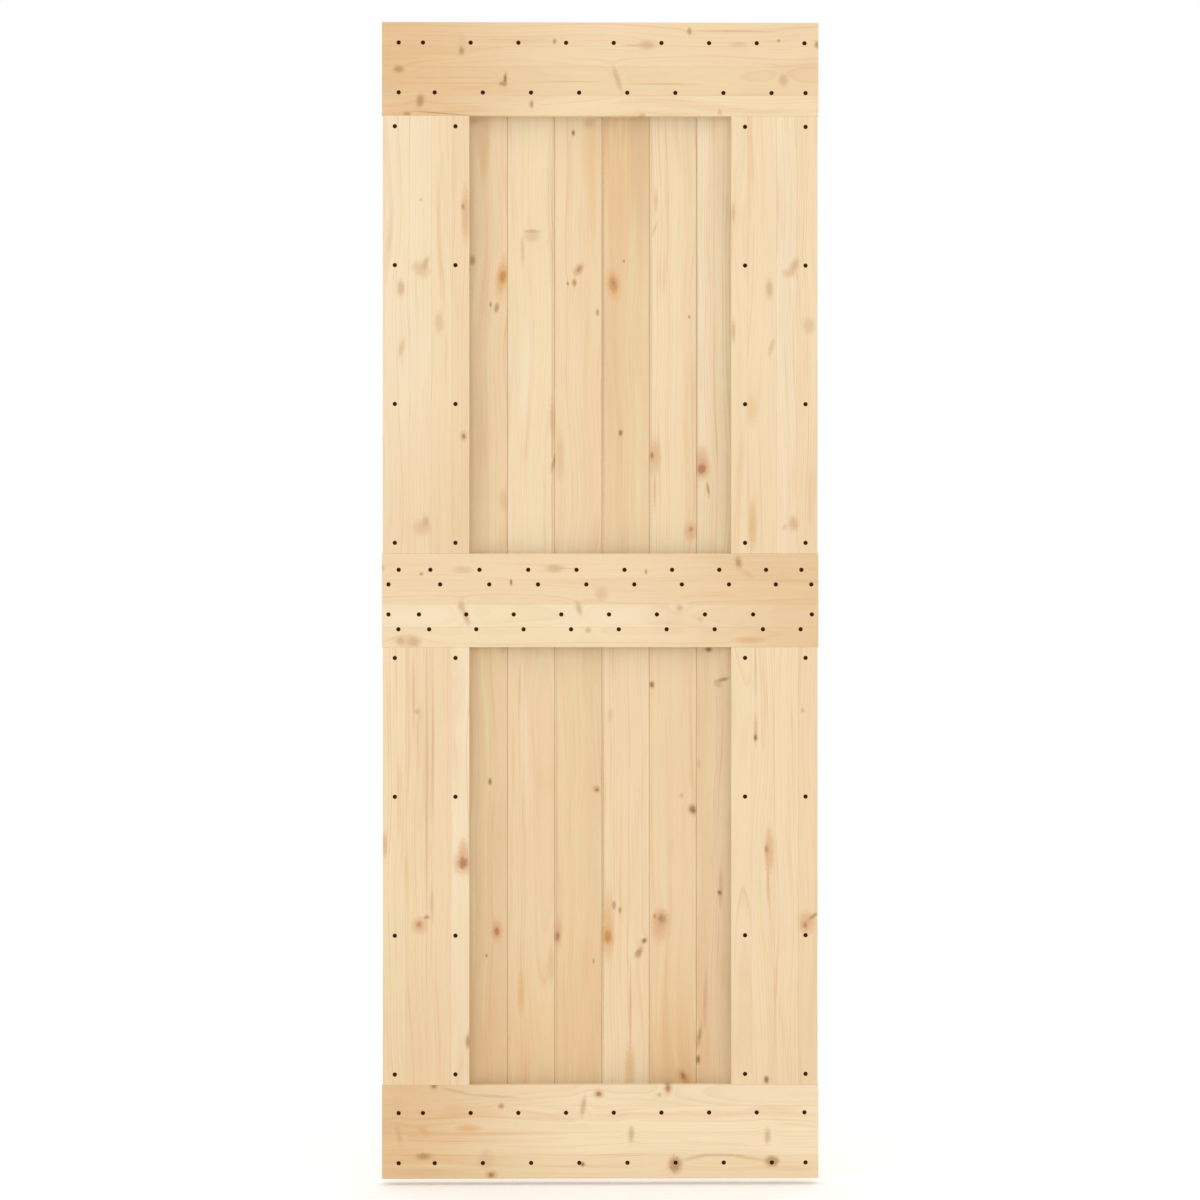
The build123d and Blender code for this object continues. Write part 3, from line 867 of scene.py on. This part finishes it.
def screw_tree():
    """Geometry Nodes that put a countersunk cross-recess screw at each point, head towards -Y."""
    n, given = new_tree(
        "Wood screws",
        {"Marks": "Geometry", "Head diameter": 8 * MM, "Head depth": 2.4 * MM, "Shank diameter": 4 * MM,
         "Length": 30 * MM, "Tip length": 6 * MM, "Recess width": 4.5 * MM, "Recess depth": 2 * MM,
         "Blade thickness": 1 * MM, "Seed": 7, "Material": "Material"},
        sockets("Geometry", "Screws"), kind="GeometryNodeTree")
    overlap, point = 0.2 * MM, 0.05 * MM
    head_sides, shank_sides, blade_sides = 24, 12, 4
    half = n.times(given["Head diameter"], 0.5)
    shank = n.times(given["Shank diameter"], 0.5)

    def changed(solid, part, value):
        return n.add("GeometryNodeTransform", {"Geometry": solid, part: value}).outputs[0]

    def cone(bottom, top, depth, sides, start=0.0):
        solid = n.add("GeometryNodeMeshCone", {
            "Vertices": sides, "Radius Bottom": bottom, "Radius Top": top, "Depth": depth}).outputs[0]
        return changed(solid, "Translation", n.joined(0.0, 0.0, start))

    def combined(operation, base, *solids):
        node = n.add("GeometryNodeMeshBoolean", base, operation=operation)
        for solid in solids:
            n.feed(node.inputs["Mesh 2"], solid)
        return node.outputs["Mesh"]

    head = cone(half, shank, given["Head depth"], head_sides)
    inside = n.times(given["Head depth"], 0.8)
    straight = n.minus(n.minus(given["Length"], given["Tip length"]), inside)
    core = n.times(shank, 0.86)
    body = cone(core, core, straight, shank_sides, inside)
    tip_start = n.minus(n.minus(given["Length"], given["Tip length"]), overlap)
    tip = cone(n.times(core, 0.98), point, given["Tip length"], shank_sides, tip_start)
    whole = combined("UNION", {}, head, body, tip)

    corner = n.times(given["Recess width"], math.sqrt(0.5))
    blade = cone(corner, n.times(corner, 0.45), given["Recess depth"], blade_sides, -point)
    square = changed(blade, "Rotation", (0, 0, math.pi / 4))
    thin = n.over(given["Blade thickness"], given["Recess width"])
    blades = [changed(square, "Scale", n.joined(*scale)) for scale in ((1.0, thin, 1.0), (thin, 1.0, 1.0))]
    cut = combined("DIFFERENCE", {"Mesh 1": whole}, *blades)

    placed = n.add("GeometryNodeInstanceOnPoints", {
        "Points": given["Marks"], "Instance": cut, "Rotation": (-math.pi / 2, 0, 0)}).outputs[0]
    angle = n.add("FunctionNodeRandomValue", {
        "Min": 0.0, "Max": math.tau, "Seed": given["Seed"]}, data_type="FLOAT")
    turned = n.add("GeometryNodeRotateInstances", {
        "Instances": placed, "Rotation": n.joined(0.0, 0.0, angle.outputs["Value"])}).outputs[0]
    real = n.add("GeometryNodeRealizeInstances", {"Geometry": turned}).outputs[0]
    coated = n.add("GeometryNodeSetMaterial", {"Geometry": real, "Material": given["Material"]}).outputs[0]
    return finish_tree(n, {"Screws": coated})


def screw_material(coating):
    """Dark phosphate coating, mottled and with lighter scuffs."""
    material, n = new_material("black_phosphate")
    place = n.add("ShaderNodeTexCoord").outputs["Object"]
    mottle = n.noise(place, scale=900.0, detail=3.0)
    scuff = n.span(n.noise(place, scale=350.0, detail=2.0), 0.58, 0.72)
    bright = tuple(min(1.0, part * 2) for part in coating)
    colour = n.mix(n.times(mottle, 0.35), coating, bright)
    colour = n.mix(n.times(scuff, 0.4), colour, bright)
    roughness = n.times_plus(mottle, 0.25, 0.38)
    bump = n.add("ShaderNodeBump", {"Height": mottle, "Distance": 0.04 * MM, "Strength": 0.6})
    surface = n.add("ShaderNodeBsdfPrincipled", {
        "Base Color": colour, "Roughness": roughness, "Specular IOR Level": 0.08,
        "Normal": bump.outputs[0]})
    n.add("ShaderNodeOutputMaterial", {"Surface": surface.outputs[0]})
    return material


class LEAF_OT_drive_screws(bpy.types.Operator):
    """Drive a screw into each countersunk hole of the face frame"""

    bl_idname = "leaf.drive_screws"
    bl_label = "Drive the Screws"

    def execute(self, context):
        sizes = context.scene.leaf_screws
        face = LEAF_LOW.y + sizes.sink
        mesh = bpy.data.meshes.new("screw_marks")
        mesh.from_pydata([(x * MM, face, z * MM) for x, z in screw_marks()], [], [])
        screws = new_object("wood_screws", mesh)
        tree = screw_tree()
        modifier = screws.modifiers.new("Wood screws", "NODES")
        modifier.node_group = tree
        values = {"Head diameter": sizes.head_diameter, "Shank diameter": sizes.shank_diameter,
                  "Head depth": (sizes.head_diameter - sizes.shank_diameter) / 2,
                  "Length": sizes.length, "Recess width": sizes.recess_width,
                  "Material": screw_material(sizes.coating)}
        for item in tree.interface.items_tree:
            if item.in_out == "INPUT" and item.name in values:
                modifier[item.identifier] = values[item.name]
        evaluated = screws.evaluated_get(context.evaluated_depsgraph_get())
        finished = bpy.data.meshes.new_from_object(evaluated)
        screws.modifiers.clear()
        screws.data = finished
        finished.name = "wood_screws"
        if not finished.polygons:
            raise RuntimeError("the screws came out empty")
        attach(screws, "root")
        return {"FINISHED"}


LAMP_SIZE, FLOOR_SIZE = 3.2, 60.0  # in metres
FLOOR_GLOW = 0.16


def area_lamp(name, offset, aim, power):
    """A large soft lamp that hangs off a point and looks at it."""
    data = bpy.data.lights.new(name, "AREA")
    data.shape = "RECTANGLE"
    data.size = data.size_y = LAMP_SIZE
    data.energy = power
    lamp = new_object(name, data)
    place = aim + Vector(offset)
    lamp.location = place
    lamp.rotation_euler = (aim - place).to_track_quat("-Z", "Y").to_euler()


def seen_directly(n):
    """1 for what the camera sees directly, or by a reflection or through glass, and 0 for light."""
    path = n.add("ShaderNodeLightPath").outputs
    bounced = n.most(path["Is Glossy Ray"], path["Is Transmission Ray"])
    return n.most(path["Is Camera Ray"], bounced)


def floor_material():
    """A white floor that keeps the shadow and runs into the white background."""
    material, n = new_material("studio_floor")
    matt = n.add("ShaderNodeBsdfDiffuse", {"Color": tint("F4F4F2")}).outputs[0]
    seen = n.times(seen_directly(n), FLOOR_GLOW)
    glow = n.add("ShaderNodeEmission", {"Color": (1, 1, 1), "Strength": seen})
    both = n.add("ShaderNodeAddShader", {0: matt, 1: glow.outputs[0]}).outputs[0]
    n.add("ShaderNodeOutputMaterial", {"Surface": both})
    return material


class LEAF_OT_set_stage(bpy.types.Operator):
    """Set the camera, the lamps, the world and the floor"""

    bl_idname = "leaf.set_stage"
    bl_label = "Set the Stage"

    def execute(self, context):
        scene = context.scene
        stage = scene.leaf_stage
        middle = (LEAF_LOW + LEAF_HIGH) / 2
        front = Vector((middle.x, LEAF_LOW.y, middle.z))

        lens = bpy.data.cameras.new("camera")
        lens.sensor_width = 36.0
        lens.lens = lens.sensor_width * stage.distance / stage.view_width
        lens.clip_end = 200.0
        camera = new_object("camera", lens)
        away = Vector((-math.sin(stage.yaw), -math.cos(stage.yaw), 0.0))
        aim = front + Vector((stage.aim_right, 0.0, stage.aim_up))
        camera.location = aim + away * stage.distance
        camera.rotation_euler = (-away).to_track_quat("-Z", "Y").to_euler()
        scene.camera = camera

        area_lamp("key_lamp", (-0.5, -4.0, 1.0), front, stage.key)
        area_lamp("back_lamp", (0.8, 4.0, 1.0), front, stage.back)

        world = bpy.data.worlds.new("studio")
        scene.world = world
        world.use_nodes = True
        world.node_tree.nodes.clear()
        n = Nodes(world.node_tree)
        strength = n.span(seen_directly(n), 0.0, 1.0, stage.dome, 1.0, kind="LINEAR")
        light = n.add("ShaderNodeBackground", {"Color": (1, 1, 1), "Strength": strength})
        n.add("ShaderNodeOutputWorld", {"Surface": light.outputs[0]})

        level = LEAF_LOW.z - stage.floor_gap
        reach = FLOOR_SIZE / 2
        corners = [(reach * x, reach * y, level) for x, y in ((-1, -1), (1, -1), (1, 1), (-1, 1))]
        mesh = bpy.data.meshes.new("floor")
        mesh.from_pydata(corners, [], [(0, 1, 2, 3)])
        mesh.materials.append(floor_material())
        new_object("floor", mesh)

        scene.view_settings.view_transform = "Standard"
        return {"FINISHED"}


OPERATORS = (LEAF_OT_set_stage, LEAF_OT_finish_frame, LEAF_OT_finish_boards, LEAF_OT_drive_screws)


class LEAF_PT_sidebar(bpy.types.Panel):
    """Lists the steps that finish the door leaf"""

    bl_idname = "LEAF_PT_sidebar"
    bl_label = "Door Leaf"
    bl_space_type = "VIEW_3D"
    bl_region_type = "UI"
    bl_category = "Door leaf"

    def draw(self, context):
        for settings in SETTINGS:
            column = self.layout.column(align=True)
            for name in SETTINGS[settings].__annotations__:
                column.prop(getattr(context.scene, settings), name)
        for operator in OPERATORS:
            self.layout.operator(operator.bl_idname)


SETTINGS = {"leaf_pine": PineSettings, "leaf_screws": ScrewSettings, "leaf_stage": StageSettings}
CLASSES = (*SETTINGS.values(), *OPERATORS, LEAF_PT_sidebar)


def register():
    for cls in CLASSES:
        bpy.utils.register_class(cls)
    for name, cls in SETTINGS.items():
        setattr(bpy.types.Scene, name, bpy.props.PointerProperty(type=cls))


def unregister():
    for name in SETTINGS:
        delattr(bpy.types.Scene, name)
    for cls in reversed(CLASSES):
        bpy.utils.unregister_class(cls)


def main():
    register()
    bpy.ops.leaf.set_stage()
    bpy.ops.leaf.finish_frame()
    bpy.ops.leaf.finish_boards()
    bpy.ops.leaf.drive_screws()


if __name__ == "__main__":
    main()
